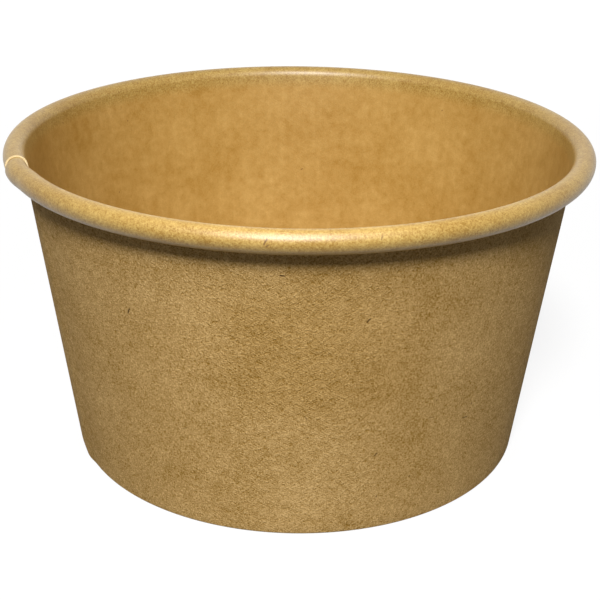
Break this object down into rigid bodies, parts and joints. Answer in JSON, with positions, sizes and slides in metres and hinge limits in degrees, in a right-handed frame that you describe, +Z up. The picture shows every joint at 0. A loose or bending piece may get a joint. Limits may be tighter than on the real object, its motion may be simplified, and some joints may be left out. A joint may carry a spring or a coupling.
{
  "type": "paper soup container",
  "caption": "Round kraft board container with a rolled rim, a tapering wall with a lapped side seam, and a base recessed above a folded hem. Holds hot soup; a lid snaps over the rim.",
  "frame": {"origin": "on the table, under the middle of the container", "axes": "+Z up along the container's own axis, -Y towards the side that the picture shows, side seam near -X"},
  "size_m": [0.115, 0.115, 0.0634],
  "materials": {
    "sidewall_board": "uncoated kraft outside, smooth coated face inside and over the rim",
    "base_board": "coated kraft board, food side up"
  },
  "bodies": {
    "root": {"sidewall": "sidewall_board", "base_disc": "base_board"}
  },
  "joints": []
}
